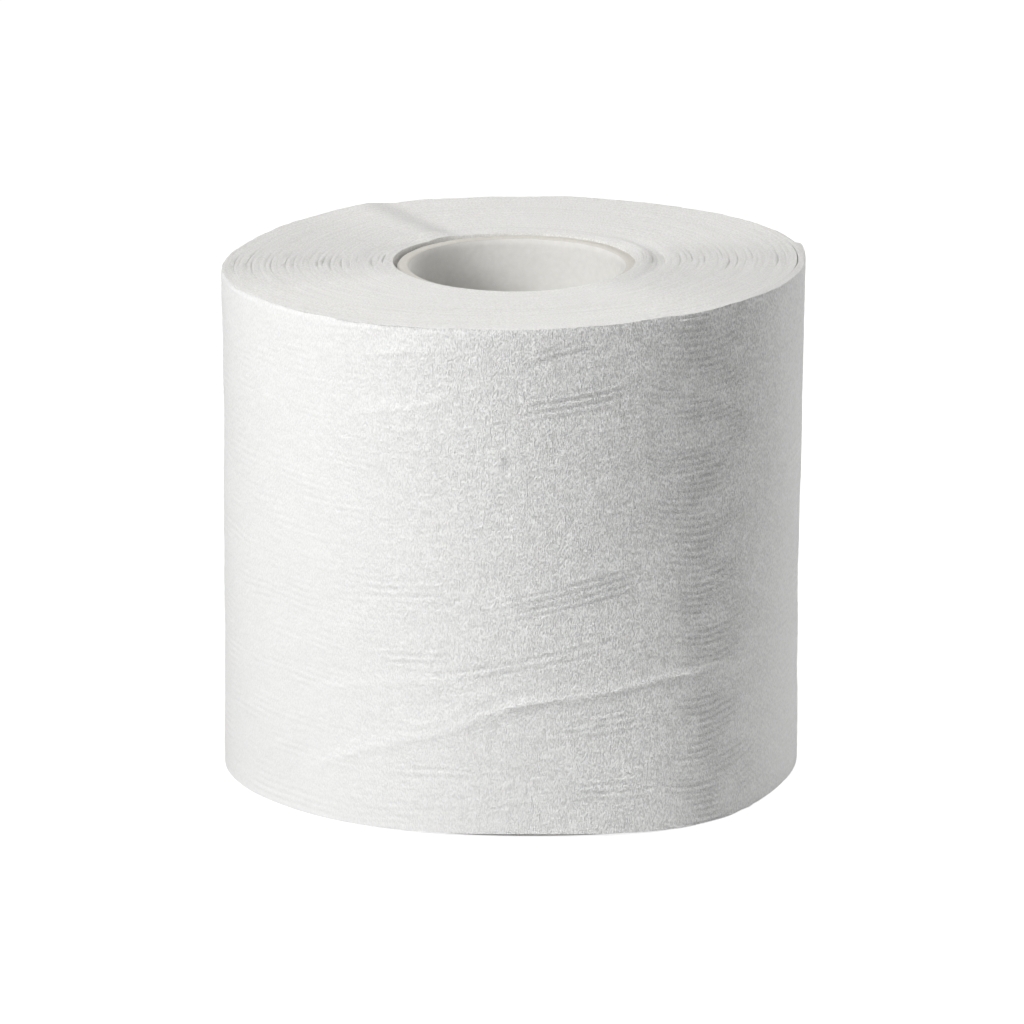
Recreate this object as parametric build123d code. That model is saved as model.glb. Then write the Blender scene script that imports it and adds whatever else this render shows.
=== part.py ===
from build123d import *
from math import cos, degrees, floor, pi, radians, sin
import os

# Toilet paper roll: one long web of two-ply creped tissue, wound on a tube of spiral-wound board.
# Millimetres. The roll stands on one end. The origin is on the roll's axis in the plane of that end,
# +Z runs up the axis, and the middle of the last sheet faces -Y.

# The web
roll_width = 100.0        # width of the web, and so the height of the winding as it stands
roll_diameter = 112.0     # over the last turn, at the tail edge
web_thickness = 0.25      # two plies with their crepe, at the tension they are wound at
sheet_length = 200.0      # along the web, from one line of perforations to the next

# The line of perforations
slit_length = 3.2         # each cut, along the roll's width
slit_tie = 0.8            # the paper left uncut between two cuts
slit_opening = 0.2        # how far the crepe draws a cut open

# The tube
tube_bore_diameter = 42.2
tube_wall = 2.3           # the layers of board, glued together
tube_recess = 0.5         # how far each end of the tube lies below the ends of the winding

# The first turn is glued down on the tube, so nothing is left between the two.
glue_gap = 0.0

# Sizes that follow from these
outer_radius = roll_diameter / 2
tube_bore_radius = tube_bore_diameter / 2
tube_outer_radius = tube_bore_radius + tube_wall
tube_length = roll_width - 2 * tube_recess
winding_bore_radius = tube_outer_radius + glue_gap
sheet_angle = degrees(sheet_length / outer_radius)

# Seen from above, the web runs clockwise from its tail edge: once round, and then under itself.
front_angle = -90.0
tail_angle = front_angle + sheet_angle / 2
perforation_angle = tail_angle - sheet_angle


def last_turn_outline():
    """The last turn seen from above: a spiral of four quarter arcs that comes in by one web thickness.

    Each arc's centre lies a quarter of a web thickness further along the line to the arc's start, so
    the arcs run on in one smooth line. The step at the end is the tail edge of the web.
    """
    quarter_step = web_thickness / 4
    centre = Vector(0, 0)
    radius = outer_radius
    start_angle = tail_angle
    arcs = []
    for _ in range(4):
        arcs.append(CenterArc(centre, radius, start_angle, -90))
        start_angle -= 90
        centre += quarter_step * Vector(cos(radians(start_angle)), sin(radians(start_angle)))
        radius -= quarter_step
    tail_edge = Line(arcs[-1] @ 1, arcs[0] @ 0)
    return make_face(arcs + [tail_edge])


def perforation_slits():
    """The row of short cuts through the last turn, one sheet back from the tail edge."""
    turn_radius = outer_radius - web_thickness * sheet_angle / 360
    pitch = slit_length + slit_tie
    count = floor((roll_width + slit_tie) / pitch)
    first_height = (roll_width - (count - 1) * pitch) / 2
    # The cut is twice as deep as the web, and its middle lies on the turn's outside.
    one_slit = Box(2 * web_thickness, slit_opening, slit_length)
    slits = []
    for number in range(count):
        height = first_height + number * pitch
        slits.append(Rot(0, 0, perforation_angle) * Pos(turn_radius, 0, height) * one_slit)
    return slits


def tissue_winding():
    """Every turn of the web as one solid, open where the tube goes through it."""
    winding = extrude(last_turn_outline(), amount=roll_width)
    winding -= Pos(0, 0, roll_width / 2) * Cylinder(winding_bore_radius, 2 * roll_width)
    return winding - perforation_slits()


def core_tube():
    """The board tube, cut a little shorter than the web is wide and centred in the winding."""
    middle = Pos(0, 0, roll_width / 2)
    return middle * (Cylinder(tube_outer_radius, tube_length) - Cylinder(tube_bore_radius, 2 * tube_length))


os.makedirs("parts", exist_ok=True)
export_step(tissue_winding(), "parts/tissue_winding.step")
export_step(core_tube(), "parts/core_tube.step")

turn_count = (outer_radius - winding_bore_radius) / web_thickness
web_area = pi * (outer_radius**2 - winding_bore_radius**2)
print(f"turns {turn_count:.0f}, web length {web_area / web_thickness / 1000:.1f} m")
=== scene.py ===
from math import cos, pi, radians, sin

import bmesh
import bpy
import numpy as np
from mathutils import Matrix, Vector, noise


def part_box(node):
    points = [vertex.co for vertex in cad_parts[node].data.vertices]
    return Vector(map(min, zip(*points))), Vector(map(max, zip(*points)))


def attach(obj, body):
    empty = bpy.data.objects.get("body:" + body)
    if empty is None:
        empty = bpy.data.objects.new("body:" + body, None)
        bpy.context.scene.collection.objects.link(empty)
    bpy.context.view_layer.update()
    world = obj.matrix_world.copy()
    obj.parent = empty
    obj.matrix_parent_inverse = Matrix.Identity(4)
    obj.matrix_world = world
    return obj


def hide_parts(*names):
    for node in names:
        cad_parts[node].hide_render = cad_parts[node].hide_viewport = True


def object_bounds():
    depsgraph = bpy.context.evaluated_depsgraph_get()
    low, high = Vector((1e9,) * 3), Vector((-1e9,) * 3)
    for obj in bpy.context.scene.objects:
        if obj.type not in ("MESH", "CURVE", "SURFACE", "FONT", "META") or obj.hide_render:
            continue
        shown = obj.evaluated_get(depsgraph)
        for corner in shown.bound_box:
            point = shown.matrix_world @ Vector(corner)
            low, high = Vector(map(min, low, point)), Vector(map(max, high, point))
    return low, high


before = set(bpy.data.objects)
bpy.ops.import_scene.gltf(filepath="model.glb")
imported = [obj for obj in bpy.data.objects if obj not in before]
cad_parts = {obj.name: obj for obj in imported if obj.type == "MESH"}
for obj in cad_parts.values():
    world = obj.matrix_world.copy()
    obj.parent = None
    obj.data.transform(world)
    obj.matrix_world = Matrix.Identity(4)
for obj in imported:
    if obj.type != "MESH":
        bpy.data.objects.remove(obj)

cad_low, cad_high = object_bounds()

# ---------------------------------------------------------------------------------------------------
# Camera
# It stands well back on a long lens, in front of the last sheet, and looks a little down on the roll.
# ---------------------------------------------------------------------------------------------------
MM = 0.001

camera_distance = 1696 * MM
camera_elevation = radians(14.98)
camera_roll = radians(-0.19)
lens_length = 304.5
roll_middle = Vector((0, 0, (cad_low.z + cad_high.z) / 2))
aim_point = roll_middle + Vector((-0.73, 0, -0.6)) * MM

camera = bpy.data.objects.new("camera", bpy.data.cameras.new("camera"))
bpy.context.collection.objects.link(camera)
camera.data.lens = lens_length
camera.data.clip_start = 0.1
camera.data.clip_end = 20
backwards = Vector((0, -cos(camera_elevation), sin(camera_elevation)))
camera.matrix_world = (
    Matrix.Translation(aim_point + camera_distance * backwards)
    @ (-backwards).to_track_quat("-Z", "Y").to_matrix().to_4x4()
    @ Matrix.Rotation(camera_roll, 4, "Z")
)
bpy.context.scene.camera = camera
bpy.context.scene.view_settings.view_transform = "Standard"

# ---------------------------------------------------------------------------------------------------
# Studio
# A plain pale floor and five square softboxes: a key and a higher lamp at the front left, weaker ones
# low at the front right and behind, and a large one overhead.
# ---------------------------------------------------------------------------------------------------


def hex_colour(text):
    """An sRGB hex colour as linear RGBA."""
    parts = [int(text[start:start + 2], 16) / 255 for start in (1, 3, 5)]
    return [part / 12.92 if part <= 0.04045 else ((part + 0.055) / 1.055) ** 2.4 for part in parts] + [1]


def add_node(tree, kind, inputs=None, **settings):
    """Adds a node with its settings. An input is a value, or the socket that it is linked to."""
    node = tree.nodes.new(kind)
    for name, value in settings.items():
        setattr(node, name, value)
    for key, value in (inputs or {}).items():
        if isinstance(value, bpy.types.NodeSocket):
            tree.links.new(value, node.inputs[key])
        else:
            node.inputs[key].default_value = value
    return node


def seen_directly(tree):
    """1 for what the camera sees, itself or in gloss or glass, and 0 for what only lights the roll."""
    path = add_node(tree, "ShaderNodeLightPath")
    either = add_node(tree, "ShaderNodeMath", {0: path.outputs["Is Camera Ray"],
                                               1: path.outputs["Is Glossy Ray"]}, operation="MAXIMUM")
    return add_node(tree, "ShaderNodeMath", {0: either.outputs[0],
                                             1: path.outputs["Is Transmission Ray"]},
                    operation="MAXIMUM").outputs[0]


room_light = 0.02
floor_white = "#BDBDBD"    # what the floor throws back on the roll
floor_glow = 0.84          # what the camera sees of the floor: this glow,
floor_share_lit = 0.36     # and this share of the light that falls on it

world = bpy.data.worlds.new("studio")
world.use_nodes = True
bpy.context.scene.world = world
room = world.node_tree
room.nodes.clear()
brightness = add_node(room, "ShaderNodeMix", {"Factor": seen_directly(room), "A": room_light, "B": 1.0})
backdrop = add_node(room, "ShaderNodeBackground", {"Color": (1, 1, 1, 1),
                                                   "Strength": brightness.outputs["Result"]})
add_node(room, "ShaderNodeOutputWorld", {"Surface": backdrop.outputs[0]})


def floor_paint():
    """Matt white paint. What the camera sees of it glows a little, so only the shadow is below white."""
    paint = bpy.data.materials.new("matt_white_paint")
    paint.use_nodes = True
    tree = paint.node_tree
    tree.nodes.clear()
    lit = add_node(tree, "ShaderNodeBsdfDiffuse", {"Color": hex_colour(floor_white)})
    dim_lit = add_node(tree, "ShaderNodeBsdfDiffuse", {"Color": [floor_share_lit] * 3 + [1]})
    glow = add_node(tree, "ShaderNodeEmission", {"Color": (1, 1, 1, 1), "Strength": floor_glow})
    shown = add_node(tree, "ShaderNodeAddShader", {0: dim_lit.outputs[0], 1: glow.outputs[0]})
    either = add_node(tree, "ShaderNodeMixShader", {0: seen_directly(tree), 1: lit.outputs[0],
                                                    2: shown.outputs[0]})
    add_node(tree, "ShaderNodeOutputMaterial", {"Surface": either.outputs[0]})
    return paint


bpy.ops.object.select_all(action="DESELECT")
bpy.ops.mesh.primitive_plane_add(size=6, location=(0, 0, cad_low.z))
floor = bpy.context.object
floor.name = "floor"
floor.data.materials.append(floor_paint())


def softbox(name, side, bearing, elevation, distance, power):
    """A square lamp that faces the roll. Bearing 0 is in front of the roll, and 90 at its right."""
    lamp = bpy.data.lights.new(name, "AREA")
    lamp.size = side
    lamp.energy = power
    stand = bpy.data.objects.new(name, lamp)
    bpy.context.collection.objects.link(stand)
    towards = Vector((sin(radians(bearing)) * cos(radians(elevation)),
                      -cos(radians(bearing)) * cos(radians(elevation)),
                      sin(radians(elevation))))
    stand.location = roll_middle + distance * towards
    stand.rotation_euler = towards.to_track_quat("Z", "Y").to_euler()


softbox("key", side=0.4, bearing=-47, elevation=28, distance=1.0, power=6.3)
softbox("high_left", side=0.4, bearing=-47, elevation=50, distance=1.0, power=2.4)
softbox("front_right", side=0.4, bearing=50, elevation=8, distance=1.0, power=3.0)
softbox("back_right", side=0.4, bearing=150, elevation=28, distance=1.0, power=4.4)
softbox("overhead", side=1.0, bearing=0, elevation=88, distance=1.4, power=3.8)


# ---------------------------------------------------------------------------------------------------
# Tube
# A tube of grey-white board, which the web is wound on. Two layers of board are wound as a helix, glued
# and sawn to length, so the ends are cut fibre and a fine step runs round the inside.
# ---------------------------------------------------------------------------------------------------


def closed_ring(name, inner, outer, low, high, columns):
    """A ring with square corners, drawn out from one circle: across the top, down, back and up again."""
    bpy.ops.object.select_all(action="DESELECT")
    bpy.ops.mesh.primitive_circle_add(vertices=columns, radius=inner, location=(0, 0, high))
    ring = bpy.context.object
    ring.name = ring.data.name = name
    bpy.ops.object.transform_apply(location=True, rotation=False, scale=False)
    bpy.ops.object.mode_set(mode="EDIT")
    bpy.ops.mesh.select_all(action="SELECT")
    outwards, inwards = outer / inner, inner / outer
    bpy.ops.mesh.extrude_region_move()
    bpy.ops.transform.resize(value=(outwards, outwards, 1), center_override=(0, 0, high))
    bpy.ops.mesh.extrude_region_move(TRANSFORM_OT_translate={"value": (0, 0, low - high)})
    bpy.ops.mesh.extrude_region_move()
    bpy.ops.transform.resize(value=(inwards, inwards, 1), center_override=(0, 0, low))
    bpy.ops.mesh.extrude_region_move(TRANSFORM_OT_translate={"value": (0, 0, high - low)})
    bpy.ops.mesh.select_all(action="SELECT")
    bpy.ops.mesh.remove_doubles(threshold=0.001 * MM)
    bpy.ops.mesh.normals_make_consistent(inside=False)
    bpy.ops.object.mode_set(mode="OBJECT")
    return ring


def cut_across(ring, cuts, wanted):
    """Cuts the ring's edges that `wanted` picks, from their two ends, into cuts + 1 lengths each."""
    bpy.ops.object.mode_set(mode="EDIT")
    bpy.ops.mesh.select_mode(type="EDGE")
    bpy.ops.mesh.select_all(action="DESELECT")
    grid = bmesh.from_edit_mesh(ring.data)
    for edge in grid.edges:
        edge.select = wanted(edge.verts[0].co, edge.verts[1].co)
    bmesh.update_edit_mesh(ring.data)
    bpy.ops.mesh.subdivide(number_cuts=cuts)
    bpy.ops.object.mode_set(mode="OBJECT")


def is_level(height):
    """Picks the edges that lie across the ring's wall at a height."""
    def wanted(one, other):
        across = abs(one.xy.length - other.xy.length) > 0.01 * MM
        return across and abs(one.z - height) < 0.01 * MM and abs(other.z - height) < 0.01 * MM
    return wanted


def is_upright(radius):
    """Picks the edges that stand on the ring's wall at a radius."""
    def wanted(one, other):
        upright = abs(one.z - other.z) > 0.01 * MM
        return upright and abs(one.xy.length - radius) < 0.01 * MM
    return wanted


def measure(ring):
    """Each vertex's distance from the axis and height in mm, and its bearing in degrees from the front."""
    places = np.empty(len(ring.data.vertices) * 3)
    ring.data.vertices.foreach_get("co", places)
    x, y, z = places.reshape(-1, 3).T / MM
    return np.hypot(x, y), np.degrees(np.arctan2(x, -y)), z


def place(ring, radius, bearing, height, shift):
    """Puts each vertex at a radius, bearing and height in mm, with the axis shifted to the right."""
    turn = np.radians(bearing)
    places = np.stack([radius * np.sin(turn) + shift, -radius * np.cos(turn), height], axis=1) * MM
    ring.data.vertices.foreach_set("co", places.ravel())
    ring.data.update()


def wander(radius, bearing, height, across, along, seed):
    """Smooth noise from -1 to 1 on the vertices: `across` mm wide round the roll and `along` mm up it."""
    turn = np.radians(bearing)
    x = radius * np.sin(turn) / across + 17.3 * seed
    y = -radius * np.cos(turn) / across
    z = height / along
    return np.array([noise.noise(point) for point in np.stack([x, y, z], axis=1).tolist()])


def near(value, middle, width):
    """1 at the middle, falling smoothly to nothing over about twice the width on either side."""
    return np.exp(-((value - middle) / width) ** 2)


def finish_ring(ring, body, node, angle):
    """Smooth shading but for the corners, and the piece's place in the assembly."""
    bpy.ops.object.select_all(action="DESELECT")
    ring.select_set(True)
    bpy.context.view_layer.objects.active = ring
    bpy.ops.object.shade_smooth_by_angle(angle=radians(angle))
    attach(ring, body)
    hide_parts(node)


tube_low, tube_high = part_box("core_tube")
tube_outer = tube_high.x / MM
tube_wall = 2.3
tube_inner = tube_outer - tube_wall
tube_bottom = tube_low.z / MM
tube_top = tube_high.z / MM
tube_columns = 192
tube_rim_cuts = 7
tube_inside_cuts = 60
tube_outside_cuts = 5
tube_shift = 0.5       # the tube sits a little to the right of the roll's middle
rim_rounding = 0.35
flat_share = 0.6       # the share of the rim's half width that stays flat
seam_pitch = 95.0      # how far the inner layer of board climbs in one turn
seam_bearing = -60     # where its seam passes the bottom
seam_step = 0.12
seam_width = 0.5

tube = closed_ring("board_tube", tube_inner * MM, tube_outer * MM, tube_low.z, tube_high.z, tube_columns)
cut_across(tube, tube_rim_cuts, is_level(tube_high.z))
cut_across(tube, tube_rim_cuts, is_level(tube_low.z))
cut_across(tube, tube_inside_cuts, is_upright(tube_inner * MM))
cut_across(tube, tube_outside_cuts, is_upright(tube_outer * MM))

radius, bearing, height = measure(tube)
on_rim = (height > tube_top - 0.01) | (height < tube_bottom + 0.01)
end_sign = np.where(height > roll_middle.z / MM, 1.0, -1.0)
from_wall_middle = np.abs(radius - (tube_inner + tube_outer) / 2) / (tube_wall / 2)
rounded_off = rim_rounding * (np.clip(from_wall_middle - flat_share, 0, 1) / (1 - flat_share)) ** 2
sawn = 0.10 * wander(radius, bearing, height, 4, 4, 3) + 0.03 * wander(radius, bearing, height, 0.8, 0.8, 4)
height = height + np.where(on_rim, end_sign * (sawn - rounded_off), 0)
# The saw cut the top a little out of square, lower in front, which shows over the last 3 mm.
out_of_square = -0.2 - 0.4 * np.cos(np.radians(bearing))
height = height + out_of_square * np.clip((height - tube_top + 3) / 3, 0, 1)
# Below its top the tube is pressed a little out of round.
out_of_round = 0.06 * np.cos(np.radians(2 * bearing - 50)) + 0.025 * wander(radius, bearing, height, 9, 25, 5)
out_of_round *= height < tube_top - 1
seam_height = seam_pitch * (bearing - seam_bearing) / 360
from_seam = (height - seam_height + seam_pitch / 2) % seam_pitch - seam_pitch / 2
inside = radius < tube_inner + 0.01
seam = seam_step * np.where(inside, near(from_seam, 0, seam_width), 0)
place(tube, radius + out_of_round - seam, bearing, height, tube_shift)


def board(name, grain, detail, roughness, colours, depth, matt, gloss):
    """Board with grains of a size in mm, which tint it between two colours and stand up by a depth in mm."""
    material = bpy.data.materials.new(name)
    material.use_nodes = True
    tree = material.node_tree
    place_on_tube = add_node(tree, "ShaderNodeTexCoord").outputs["Object"]
    grains = add_node(tree, "ShaderNodeTexNoise", {"Vector": place_on_tube, "Scale": 1 / (grain * MM),
                                                   "Detail": detail, "Roughness": roughness})
    dark, pale = colours
    tint = add_node(tree, "ShaderNodeMix", {"Factor": grains.outputs[0],
                                            "A": hex_colour(dark), "B": hex_colour(pale)},
                    data_type="RGBA")
    bump = add_node(tree, "ShaderNodeBump", {"Height": grains.outputs[0], "Distance": depth * MM})
    surface = tree.nodes["Principled BSDF"]
    tree.links.new(tint.outputs[2], surface.inputs["Base Color"])
    tree.links.new(bump.outputs[0], surface.inputs["Normal"])
    surface.inputs["Roughness"].default_value = matt
    surface.inputs["Specular IOR Level"].default_value = gloss
    return material


# Recycled grey-white board: matt, faintly mottled by its long fibres, with a slight calendered sheen.
board_face = board("recycled_board", grain=1.2, detail=4.0, roughness=0.6, colours=("#DEDDD9", "#F0EFEC"),
                   depth=0.03, matt=0.75, gloss=0.3)
# The same board, sawn: raw, a little yellower and darker than its face, with specks and fuzz.
board_end = board("sawn_board_fibre", grain=0.5, detail=3.0, roughness=0.65, colours=("#CFCCC4", "#E5E2DC"),
                  depth=0.15, matt=0.95, gloss=0.1)


def paint_ends(ring, steepness):
    """Gives the ring's level faces its second material."""
    for face in ring.data.polygons:
        if abs(face.normal.z) > steepness:
            face.material_index = 1


tube.data.materials.append(board_face)
tube.data.materials.append(board_end)
paint_ends(tube, 0.5)
finish_ring(tube, "root", "core_tube", angle=50)

# ---------------------------------------------------------------------------------------------------
# Wound turns
# All the turns of two-ply tissue between the tube and the last few: one web, wound up under light
# tension and sawn to width, so each end is a face of some hundred cut edges with slits where it is slack.
# ---------------------------------------------------------------------------------------------------
winding_low, winding_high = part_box("tissue_winding")
roll_height = winding_high.z / MM
roll_radius = winding_high.x / MM
axis_shift = -0.8      # the turns are wound up a little to the left of the tube
loose_band = 1.5       # the last few turns, which lie loosely on the others
band_radius = roll_radius - loose_band
bore_radius = tube_outer + 0.05
turn_columns = 300
# A fold runs across the end at the back left, between these two points on it.
fold_start = np.array([-15.2, 17.2])
fold_end = np.array([-29.5, 47.6])
fold_along = (fold_end - fold_start) / np.linalg.norm(fold_end - fold_start)
fold_across = np.array([fold_along[1], -fold_along[0]])


def turned(bearing, middle):
    """Degrees from a bearing, from -180 to 180."""
    return (bearing - middle + 180) % 360 - 180


def facing(bearing, middle, reach):
    """1 at a bearing, falling smoothly to nothing over about twice the reach on either side."""
    return near(turned(bearing, middle), 0, reach)


def leaning(radius, bearing, height):
    """How far the winding stands out of a true cylinder, in mm, growing from the tube outwards."""
    share = np.clip((radius - bore_radius) / (roll_radius - bore_radius), 0, 1) ** 2
    up = height / roll_height
    # Low down the roll bulges at the front right, and a little at the left.
    bulge = 4.1 * facing(bearing, 34, 23) * np.clip(1 - up / 0.62, 0, 1) ** 1.3
    bulge += 0.9 * facing(bearing, -78, 24) * np.clip(1 - up / 0.7, 0, 1) ** 1.2
    # Higher up it flares, most of all at the right.
    flare = 0.45 * up ** 2 + 0.85 * facing(bearing, 88, 40) * up ** 3
    flare -= 0.2 * facing(bearing, -90, 40) * up ** 2
    waves = 0.25 * wander(radius, bearing, height, 30, 45, 11)
    return share * (bulge + flare + waves)


def end_relief(radius, bearing, height):
    """How far the sawn end stands above or below its plane, in mm: out of square, folded and uneven."""
    turn = np.radians(bearing)
    x = radius * np.sin(turn)
    y = -radius * np.cos(turn)
    share = np.clip((radius - bore_radius) / 10, 0, 1)
    slope = 0.0095 * x * share
    uneven = 0.16 * wander(radius, bearing, height, 11, 50, 21) * share
    # The fold rises gently from its left and falls away faster at its right.
    from_fold = (x - fold_start[0]) * fold_across[0] + (y - fold_start[1]) * fold_across[1]
    up_fold = (x - fold_start[0]) * fold_along[0] + (y - fold_start[1]) * fold_along[1]
    rising = near(from_fold, 0, 9) * (from_fold <= 0)
    falling = near(from_fold, 0, 4.5) * (from_fold > 0)
    fold = (1.3 - 0.016 * up_fold) * (rising + falling) * np.clip(up_fold / 3, 0, 1)
    # The rim itself dips and rises a little where the web was slack.
    rim = -0.75 * facing(bearing, -108, 14) + 0.25 * facing(bearing, 110, 14)
    rim *= share ** 2 * np.clip((radius - 35) / 20, 0, 1)
    dip = -0.55 * facing(bearing, 0, 55) * near(radius, bore_radius, 6)
    return slope + uneven + fold + dip + rim


# Between some turns a slit opens at the right and at the left: each is (bearing, reach, depth).
rng = np.random.default_rng(7)
slits = []
slit_radius = bore_radius + 1.8
while slit_radius < band_radius - 0.6:
    right = (90 + rng.uniform(-6, 6), rng.uniform(5, 8), 0.08 + 0.45 * rng.uniform(0, 1) ** 2)
    left = (-92 + rng.uniform(-6, 6), rng.uniform(5, 9), 0.10 + 0.35 * rng.uniform(0, 1) ** 2)
    slits.append((slit_radius, right, left))
    slit_radius += rng.uniform(0.8, 1.7)
slit_width = 0.07
# The rings of the mesh on the ends are drawn together at the slits, to be crisp there.
ring_radii = [bore_radius, bore_radius + 0.3, bore_radius + 0.8]
for slit_radius, right, left in slits:
    ring_radii += [slit_radius + offset for offset in (-0.45, -0.13, -0.06, 0.0, 0.06, 0.13)]
ring_radii.append(band_radius)
wound_inside_cuts = 8
wound_outside_cuts = 12

wound = closed_ring("wound_turns", bore_radius * MM, band_radius * MM,
                    winding_low.z, winding_high.z, turn_columns)
cut_across(wound, len(ring_radii) - 2, is_level(winding_high.z))
cut_across(wound, len(ring_radii) - 2, is_level(winding_low.z))
cut_across(wound, wound_inside_cuts, is_upright(bore_radius * MM))
cut_across(wound, wound_outside_cuts, is_upright(band_radius * MM))

radius, bearing, height = measure(wound)
on_top = height > roll_height - 0.01
on_end = on_top | (height < 0.01)
share = (radius - bore_radius) / (band_radius - bore_radius)
ring_number = share * (len(ring_radii) - 1)
radius = np.where(on_end, np.interp(ring_number, range(len(ring_radii)), ring_radii), radius)
slit_depth = np.zeros(len(radius))
for slit_radius, right, left in slits:
    for middle, reach, depth in (right, left):
        slit_depth += depth * facing(bearing, middle, reach) * near(radius, slit_radius, slit_width)
grain = 0.05 * wander(radius, bearing, height, 1.6, 50, 23)
relief = end_relief(radius, bearing, height) + grain
# At the right the first turns stand up round the tube, with a dip behind them.
collar = 0.85 * near(radius, bore_radius + 2.4, 1.5) - 0.45 * near(radius, bore_radius + 5.6, 1.4)
relief += collar * facing(bearing, 92, 34)
new_height = np.where(on_top, height + relief - slit_depth, height + np.where(on_end, slit_depth, 0))
# At the left the first turns stand clear of the tube.
clear = 0.35 * facing(bearing, -105, 36) * near(radius, bore_radius, 3)
new_radius = radius + clear + leaning(radius, bearing, height)
# The bore stays where it is, and within 6 mm of it the turns reach the whole shift.
shift = axis_shift * np.clip((radius - bore_radius) / 6, 0, 1)
place(wound, new_radius, bearing, new_height, shift)


def mottled(tree, vector, across, along, detail):
    """Noise on Object coordinates, with grains of a size in mm across and along the roll's axis."""
    spread = add_node(tree, "ShaderNodeMapping",
                      {"Vector": vector, "Scale": (1 / (across * MM), 1 / (across * MM), 1 / (along * MM))})
    return add_node(tree, "ShaderNodeTexNoise", {"Vector": spread.outputs[0], "Scale": 1.0, "Detail": detail,
                                                 "Roughness": 0.6}).outputs[0]


def total(tree, *weighted):
    """The sum of sockets, each times its weight."""
    result = 0.0
    for socket, weight in weighted:
        result = add_node(tree, "ShaderNodeMath", {0: socket, 1: weight, 2: result},
                          operation="MULTIPLY_ADD").outputs[0]
    return result


def sawn_tissue():
    """Sawn edges of tissue: matt and soft, with close rings of turns and a nap of torn fibres."""
    tissue = bpy.data.materials.new("sawn_tissue_edges")
    tissue.use_nodes = True
    tree = tissue.node_tree
    spot = add_node(tree, "ShaderNodeTexCoord").outputs["Object"]
    flat = add_node(tree, "ShaderNodeVectorMath", {0: spot, 1: (1, 1, 0)}, operation="MULTIPLY")
    from_axis = add_node(tree, "ShaderNodeVectorMath", {0: flat.outputs[0]}, operation="LENGTH")
    # The turns are 0.25 mm apart; they are drawn about twice as coarse, so that they show.
    ring_spacing = 0.55
    drift = add_node(tree, "ShaderNodeVectorMath", {0: spot, 1: (60, 60, 60)}, operation="MULTIPLY")
    across = add_node(tree, "ShaderNodeMath", {0: from_axis.outputs["Value"], 1: 1 / (ring_spacing * MM)},
                      operation="MULTIPLY")
    ring_spot = add_node(tree, "ShaderNodeCombineXYZ", {"X": across.outputs[0]})
    ring_spot = add_node(tree, "ShaderNodeVectorMath", {0: ring_spot.outputs[0], 1: drift.outputs[0]},
                         operation="ADD")
    rings = add_node(tree, "ShaderNodeTexNoise", {"Vector": ring_spot.outputs[0], "Scale": 1.0,
                                                  "Detail": 2.0, "Roughness": 0.6}).outputs[0]
    nap = mottled(tree, spot, 0.35, 0.35, 2.0)
    bump = add_node(tree, "ShaderNodeBump", {"Height": total(tree, (rings, 0.03), (nap, 0.20)),
                                             "Distance": 1.0 * MM})
    spread = add_node(tree, "ShaderNodeMapRange", {"Value": total(tree, (rings, 0.3), (nap, 0.7)),
                                                   "From Min": 0.35, "From Max": 0.65})
    shade = add_node(tree, "ShaderNodeMix", {"Factor": spread.outputs[0],
                                             "A": hex_colour("#E4E3E0"), "B": hex_colour("#FDFCFA")},
                     data_type="RGBA")
    # The turns lie slack at the left and right, where light sinks between them: painted shade darkens the end
    # there.
    heading = add_node(tree, "ShaderNodeVectorMath", {0: flat.outputs[0]}, operation="NORMALIZE")
    sideways = add_node(tree, "ShaderNodeVectorMath", {0: heading.outputs[0], 1: (0.97, -0.26, 0)},
                        operation="DOT_PRODUCT")
    squared = add_node(tree, "ShaderNodeMath", {0: sideways.outputs["Value"],
                                                1: sideways.outputs["Value"]}, operation="MULTIPLY")
    painted_gap_shade = add_node(tree, "ShaderNodeMapRange", {"Value": squared.outputs[0], "From Min": 0.5,
                                                 "From Max": 1.0, "To Min": 0.0, "To Max": 0.12},
                    interpolation_type="SMOOTHSTEP")
    # They gape along the fold too, and painted shade darkens a band some 5 mm wide on its steeper side.
    band_middle = fold_across @ fold_start + 2.0
    from_start = fold_along @ fold_start
    across_fold = add_node(tree, "ShaderNodeVectorMath", {0: spot, 1: (*(fold_across / MM), 0)},
                           operation="DOT_PRODUCT")
    from_band = add_node(tree, "ShaderNodeMath", {0: across_fold.outputs["Value"], 1: -band_middle},
                         operation="ADD")
    from_band = add_node(tree, "ShaderNodeMath", {0: from_band.outputs[0]}, operation="ABSOLUTE")
    fold_band_shade = add_node(tree, "ShaderNodeMapRange", {"Value": from_band.outputs[0], "From Min": 0.5,
                                                    "From Max": 5.5, "To Min": 0.12, "To Max": 0.0},
                       interpolation_type="SMOOTHSTEP")
    up_fold = add_node(tree, "ShaderNodeVectorMath", {0: spot, 1: (*(fold_along / MM), 0)},
                       operation="DOT_PRODUCT")
    past_tube = add_node(tree, "ShaderNodeMapRange", {"Value": up_fold.outputs["Value"],
                                                      "From Min": from_start - 2.0,
                                                      "From Max": from_start + 4.0},
                         interpolation_type="SMOOTHSTEP")
    painted_gap_shade = add_node(tree, "ShaderNodeMath", {0: fold_band_shade.outputs[0], 1: past_tube.outputs[0],
                                             2: painted_gap_shade.outputs[0]}, operation="MULTIPLY_ADD")
    gap_shaded_colour = add_node(tree, "ShaderNodeMix", {"Factor": painted_gap_shade.outputs[0], "A": shade.outputs[2],
                                              "B": (0, 0, 0, 1)}, data_type="RGBA")
    surface = tree.nodes["Principled BSDF"]
    tree.links.new(gap_shaded_colour.outputs[2], surface.inputs["Base Color"])
    tree.links.new(bump.outputs[0], surface.inputs["Normal"])
    surface.inputs["Roughness"].default_value = 0.95
    surface.inputs["Specular IOR Level"].default_value = 0.15
    return tissue


sawn_edges = sawn_tissue()
wound.data.materials.append(sawn_edges)
finish_ring(wound, "root", "tissue_winding", angle=60)

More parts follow.
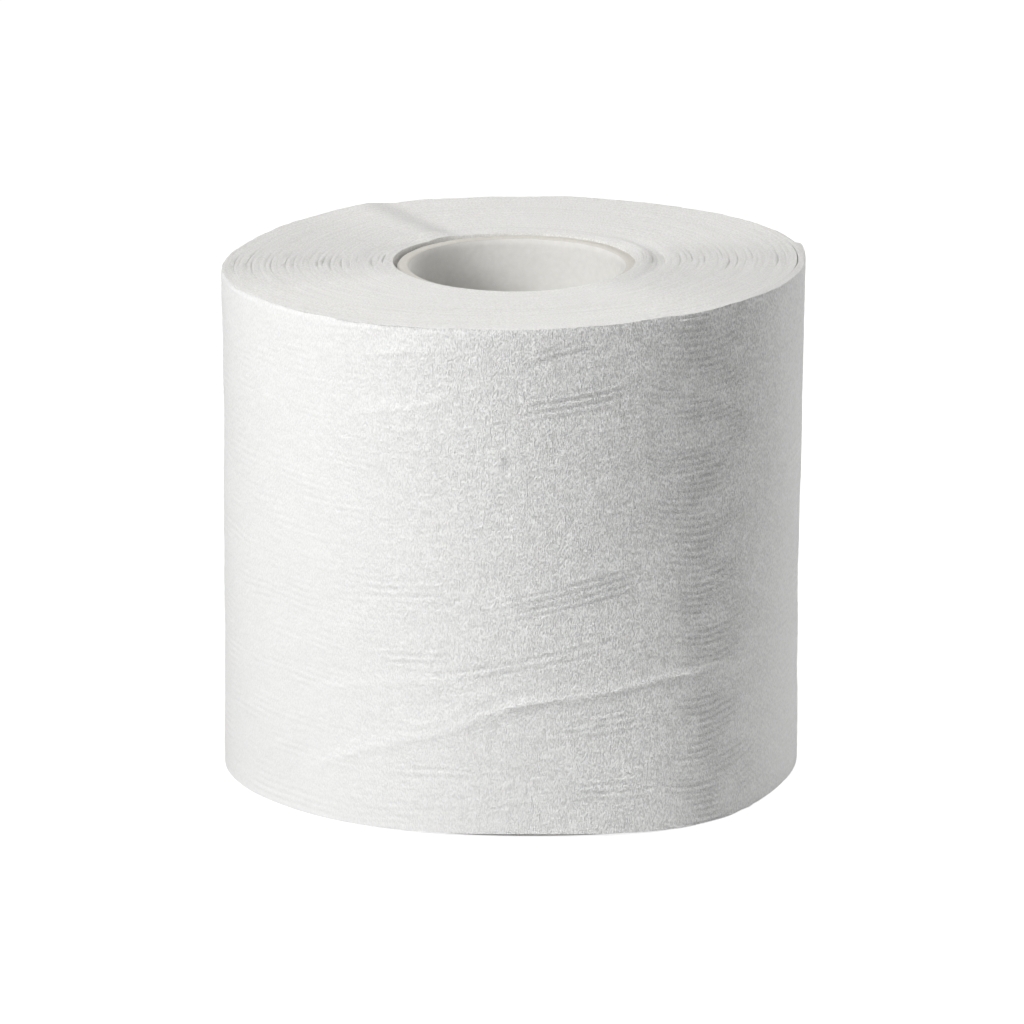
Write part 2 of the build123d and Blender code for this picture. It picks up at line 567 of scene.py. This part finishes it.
# ---------------------------------------------------------------------------------------------------
# Last turns
# The outside of the roll: the last few turns, slack enough to ripple, with the free edge of the web at
# the back and, one sheet back from it, the line of perforations that the next sheet tears along.
# ---------------------------------------------------------------------------------------------------
web_thickness = 0.25
sheet_length = 200.0
sheet_turn = np.degrees(sheet_length / roll_radius)
tail_bearing = sheet_turn / 2
tear_bearing = tail_bearing - sheet_turn
slit_length = 3.2
slit_tie = 0.8
band_edge_cuts = 6
band_inside_cuts = 5
rough_rows = 100
rows_in_each = 3

last = closed_ring("last_turns", band_radius * MM, roll_radius * MM,
                   winding_low.z, winding_high.z, turn_columns)
cut_across(last, band_edge_cuts, is_level(winding_high.z))
cut_across(last, band_edge_cuts, is_level(winding_low.z))
cut_across(last, rough_rows - 1, is_upright(roll_radius * MM))
cut_across(last, rows_in_each - 1, is_upright(roll_radius * MM))
cut_across(last, band_inside_cuts, is_upright(band_radius * MM))

radius, bearing, height = measure(last)
outside = radius > roll_radius - 0.01
on_top = height > roll_height - 0.01
# A spot on the outside is s mm round it from the front, positive to the right, and z mm up.
s = np.radians(bearing) * roll_radius
z = height

# Columns of the mesh are drawn together at the free edge and at the perforations, to be crisp there. Each
# pair is a column's bearing before and after. Far from the two, columns stay where they are.
column_turn = 360 / turn_columns
tail_column = column_turn * round(tail_bearing / column_turn)
tear_column = column_turn * round(tear_bearing / column_turn)
slit_half_width = 0.16
column_moves = [
    (-180, -180),
    (tear_column - 8 * column_turn, tear_column - 8 * column_turn),
    (tear_column - 2 * column_turn, tear_bearing - 0.9),
    (tear_column - column_turn, tear_bearing - slit_half_width),
    (tear_column, tear_bearing),
    (tear_column + column_turn, tear_bearing + slit_half_width),
    (tear_column + 2 * column_turn, tear_bearing + 0.9),
    (tear_column + 8 * column_turn, tear_column + 8 * column_turn),
    (tail_column - 6 * column_turn, tail_column - 6 * column_turn),
    (tail_column - column_turn, tail_bearing - 0.7),
    (tail_column, tail_bearing),
    (tail_column + column_turn, tail_bearing + 0.05),
    (tail_column + 6 * column_turn, tail_column + 6 * column_turn),
    (180, 180),
]
from_tail = (tail_column - bearing + column_turn / 2) % 360 - column_turn / 2
from_tear = turned(bearing, tear_column) / column_turn
bearing = np.interp(bearing, *zip(*column_moves))
# The free edge isn't quite straight. Two columns past it are tucked in under it, except at the top and
# the bottom, so that the edge stands clear of the turn below.
at_tail = np.minimum(from_tail, 360 - from_tail) < 1.5 * column_turn
bearing += 0.5 * wander(radius, bearing, height, 30, 16, 46) * at_tail
tucked = (from_tail > 360 - 2.5 * column_turn) & outside
tuck = 2.2 * np.clip((roll_height - 0.2 - height) / 2, 0, 1) * np.clip((height - 0.2) / 2, 0, 1)
bearing -= tuck * tucked


def ripples(start_s, start_z, length, rise, count, pitch, crest):
    """A few ripples side by side, each a soft ridge, that rise from left to right and fade at both ends."""
    along = (s - start_s) / length
    line = start_z + rise * along + 0.25 * np.sin(3.1 * along + start_z)
    across = (z - line) / pitch
    fade = np.clip(4 * along, 0, 1) * np.clip(4 * (1 - along), 0, 1)
    inside_group = np.clip(count / 2 + 0.25 - np.abs(across), 0, 0.5) * 2
    return crest * fade * inside_group * np.cos(2 * pi * across)


def pleat(points, crest, above, below):
    """A long ridge along points (s, z), whose slopes fade over a distance above it and one below it."""
    path_s = np.array([point[0] for point in points], float)
    path_z = np.array([point[1] for point in points], float)
    line = np.zeros(len(s))
    weight = np.zeros(len(s))
    for step in np.linspace(-3, 3, 7):
        line += np.interp(s + step, path_s, path_z)
        weight += 1
    line /= weight
    off = z - line
    along = np.clip((s - path_s[0]) / 8, 0, 1) * np.clip((path_s[-1] - s) / 8, 0, 1)
    return crest * along * np.where(off > 0, np.exp(-off / above), np.exp(off / below))


relief = np.zeros(len(s))
# Each group of ripples has its start (s, z), length, rise, count, pitch and crest.
for group in (
    (-1, 83.4, 26, 3.9, 3, 1.5, 0.20),
    (2, 93.8, 14, 2.6, 1, 1.6, 0.26),
    (-5, 43.9, 32, 6.4, 4, 1.4, 0.18),
    (-32, 46.6, 20, 2.0, 3, 1.5, 0.07),
    (-27, 33.9, 16, 1.5, 2, 1.5, 0.07),
    (-17, 30.6, 41, 7.4, 2, 1.8, 0.12),
    (7, 20.6, 20, 3.0, 4, 1.4, 0.10),
    (10, 9.0, 18, 0.5, 3, 1.5, 0.12),
    (-24, 11.8, 16, 0.2, 2, 1.6, 0.08),
):
    relief += ripples(*group)
# Each long crease has its points, its crest and the reach of its slopes above and below.
for points, crest, above, below in (
    ([(-34, 81), (-15.6, 84.8), (-9.6, 87.4), (-2, 90.6)], 0.27, 0.8, 0.6),
    ([(-33, 92.0), (-25, 94.4), (-11, 95.8)], 0.28, 0.7, 0.6),
    ([(-44, 25.6), (-20, 29.9), (-8, 30.3)], 0.16, 0.8, 0.6),
    ([(-46, 8), (-28, 16), (-12, 20.8), (-5, 24.2), (2, 26.8), (9, 27.5)], 0.32, 1.6, 1.3),
    ([(-6, 23.8), (2, 26.8), (16, 28.1), (29, 29.7), (52, 30.6)], 0.70, 0.5, 1.1),
    ([(-24, 21), (-15, 21.8), (-9, 25.2), (-3, 28.5), (4, 30.4)], 0.22, 0.8, 0.5),
    ([(-36, 37), (-28, 44.3), (-17, 46.8)], 0.12, 0.8, 0.6),
    ([(0, 66.5), (3.5, 69), (9.4, 73.3), (13, 79)], 0.14, 0.7, 0.6),
    ([(18, 86), (25.4, 90.8), (38.6, 83.8), (54, 82.3)], 0.20, 0.8, 0.6),
    ([(25, 66.5), (37, 68.2), (50, 73.5)], 0.16, 0.8, 0.6),
    ([(22, 37), (31.8, 33.7), (39, 33.3), (51, 34.8)], 0.18, 0.8, 0.6),
    ([(26, 22), (35.6, 12.4), (47, 10.5)], 0.18, 0.8, 0.6),
    ([(10, 11), (25.2, 7.8), (37, 2.5)], 0.15, 0.8, 0.6),
):
    relief += pleat(points, crest, above, below)
# A small dent.
relief -= 0.3 * near(s, -0.8, 0.9) * near(z, 74, 1.2)
# Faint upright creases, where the web was bent across its length.
for crease_s, low_z, high_z in ((-22, 19, 33), (-16, 66, 81), (-0.2, 60, 92), (2.2, 30, 46), (25.6, 61, 92),
                                (25.4, 17, 50), (28.4, 16, 40)):
    relief += 0.07 * near(s, crease_s, 0.9) * near(z, (low_z + high_z) / 2, (high_z - low_z) / 2)
# Fine ripples all over: they climb a little towards the right shoulder, and sag in arcs beyond it.
shoulder = 25
fine_pitch = 1.35
past_shoulder = -4.5 * (1 - np.exp(-(s - shoulder) / 7)) + 0.012 * np.clip(s - 36, 0, 30) ** 2
sag = np.where(s > shoulder, past_shoulder, 0)
drift = 0.17 * np.clip(s, -20, shoulder) + sag + 1.4 * wander(radius, bearing, height, 16, 22, 41)
on_right = near(s, 41, 15)
patchy = np.clip(wander(radius, bearing, height, 9, 5, 42) * 1.6 + 0.25 + 0.5 * on_right, 0, 1)
fine = np.cos(2 * pi * (z - drift) / fine_pitch) * patchy
strength = 0.03 + 0.17 * on_right
relief += strength * fine
# How far each spot lies up on a crease or down between two, which the painted shade in the tissue's hollows
# follows.
crease_height = relief * outside
# The web is a little uneven everywhere.
relief += 0.05 * wander(radius, bearing, height, 3.2, 1.5, 43)
relief += 0.16 * wander(radius, bearing, height, 14, 11, 44)
relief += 0.10 * np.sin(s / 15 + 0.8)
relief *= outside

# The spiral: the radius falls by one web thickness over the turn, and steps back up at the tail.
spiral = -web_thickness * from_tail / 360
edge_lift = 0.7 + 0.5 * wander(radius, bearing, height, 30, 20, 45)
tail_lift = edge_lift * near(np.clip(from_tail, 0, 180), 0, 8)
# The perforations lie in a shallow groove. Each slit is sunk along the column in the groove's middle.
up_pitch = (height - slit_tie / 2) % (slit_length + slit_tie)
in_slit = (up_pitch < slit_length) & (np.abs(from_tear) < 0.5)
perforation = -0.14 * facing(bearing, tear_bearing, 1.2) - 0.35 * in_slit
rim_fall = -0.2 * np.exp(-(roll_height - height) / 0.6)
new_radius = radius + relief + (spiral + tail_lift + perforation + rim_fall) * outside
new_radius += leaning(radius, bearing, height)

# The top edge of the band waves up and down, and its corner is soft. A slit opens inside it at the right.
edge_wave = 0.30 * wander(radius, bearing, height, 9, 50, 51)
edge_wave += 0.12 * wander(radius, bearing, height, 3, 50, 52)
edge_wave += 0.10 * wander(radius, bearing, height, 1.3, 50, 53)
edge_wave *= np.clip((radius - band_radius) / loose_band, 0, 1)
edge_soft = -0.25 * np.clip((radius - roll_radius + 0.5) / 0.5, 0, 1) ** 2
open_slit = 0.2 * facing(bearing, 92, 15) * near(radius, band_radius, 0.35)
new_radius += open_slit * (height > roll_height - 12)
# The rise and fall of the end draws the rows below it along, less and less down to 60 mm.
top_rise = end_relief(radius, bearing, height) + edge_wave + edge_soft * (height > 99)
top_share = np.where(on_top, 1.0, np.clip((height - 60) / (roll_height - 60), 0, 1) ** 2)
# The band doesn't quite reach the floor in front.
lifted = 0.8 * near(s, 4, 24) * np.clip(1 - height / 20, 0, 1)
place(last, new_radius, bearing, height + top_share * top_rise + lifted, axis_shift)


def creped_tissue():
    """Creped two-ply tissue: matt white, its crepe drawn as upright grains, 0.25 mm wide and 0.6 mm tall."""
    tissue = bpy.data.materials.new("creped_tissue")
    tissue.use_nodes = True
    tree = tissue.node_tree
    spot = add_node(tree, "ShaderNodeTexCoord").outputs["Object"]
    grains = mottled(tree, spot, 0.24, 0.58, 1.0)
    lines = mottled(tree, spot, 0.24, 2.0, 0.0)
    patches = mottled(tree, spot, 2.2, 1.4, 2.0)
    height_map = total(tree, (grains, 0.38), (lines, 0.12), (patches, 0.3))
    # The crepe's relief is drawn flatter at the left and right sides, and a little flatter low down.
    to_left = (-0.9 / (roll_radius * MM), -0.45 / (roll_radius * MM), 0)
    towards_left_front = add_node(tree, "ShaderNodeVectorMath", {0: spot, 1: to_left}, operation="DOT_PRODUCT")
    depth = add_node(tree, "ShaderNodeMapRange", {"Value": towards_left_front.outputs["Value"], "From Min": 0.1,
                                                  "From Max": 0.95, "To Min": 1.0, "To Max": 0.17})
    right_side = add_node(tree, "ShaderNodeMapRange", {"Value": towards_left_front.outputs["Value"], "From Min": -0.7,
                                                       "From Max": -0.2, "To Min": 0.35, "To Max": 1.0})
    depth = add_node(tree, "ShaderNodeMath", {0: depth.outputs[0], 1: right_side.outputs[0]},
                     operation="MULTIPLY")
    place_up = add_node(tree, "ShaderNodeSeparateXYZ", {"Vector": spot})
    higher = add_node(tree, "ShaderNodeMapRange", {"Value": place_up.outputs["Z"], "From Min": 0.0,
                                                   "From Max": 100 * MM, "To Min": 0.85, "To Max": 1.55})
    depth = add_node(tree, "ShaderNodeMath", {0: depth.outputs[0], 1: higher.outputs[0]},
                     operation="MULTIPLY")
    crepe = add_node(tree, "ShaderNodeMath", {0: height_map, 1: depth.outputs[0]}, operation="MULTIPLY")
    bump = add_node(tree, "ShaderNodeBump", {"Height": crepe.outputs[0], "Distance": 1.5 * MM})
    # The grains and patches tint the tissue darker where its crepe lies low: painted shade in the pits of the
    # crepe.
    shaded = total(tree, (grains, 0.8), (patches, 0.2))
    spread = add_node(tree, "ShaderNodeMapRange", {"Value": shaded, "From Min": 0.40, "From Max": 0.60})
    # Where the relief is drawn flatter the tint is lighter and evener; at the left, where the lamps fall full
    # on the side, that is painted light.
    soft = add_node(tree, "ShaderNodeMix", {"Factor": depth.outputs[0], "A": 0.8, "B": spread.outputs[0]},
                    clamp_factor=True)
    shade = add_node(tree, "ShaderNodeMix", {"Factor": soft.outputs[0],
                                             "A": hex_colour("#D8D8D7"), "B": hex_colour("#FFFFFE")},
                     data_type="RGBA")
    # Painted shade darkens the tissue in the hollows between ripples.
    lie = add_node(tree, "ShaderNodeAttribute", attribute_name="crease_height")
    hollow_shade = add_node(tree, "ShaderNodeMapRange", {"Value": lie.outputs["Fac"], "From Min": -0.15,
                                                   "From Max": 0.02, "To Min": 0.13, "To Max": 0.0})
    hollow_shaded_colour = add_node(tree, "ShaderNodeMix", {"Factor": hollow_shade.outputs[0], "A": shade.outputs[2],
                                               "B": (0, 0, 0, 1)}, data_type="RGBA")
    surface = tree.nodes["Principled BSDF"]
    tree.links.new(hollow_shaded_colour.outputs[2], surface.inputs["Base Color"])
    tree.links.new(bump.outputs[0], surface.inputs["Normal"])
    surface.inputs["Roughness"].default_value = 0.9
    surface.inputs["Specular IOR Level"].default_value = 0.2
    return tissue


last.data.materials.append(creped_tissue())
last.data.materials.append(sawn_edges)
lie = last.data.attributes.new("crease_height", "FLOAT", "POINT")
lie.data.foreach_set("value", crease_height)
paint_ends(last, 0.75)
finish_ring(last, "root", "tissue_winding", angle=60)
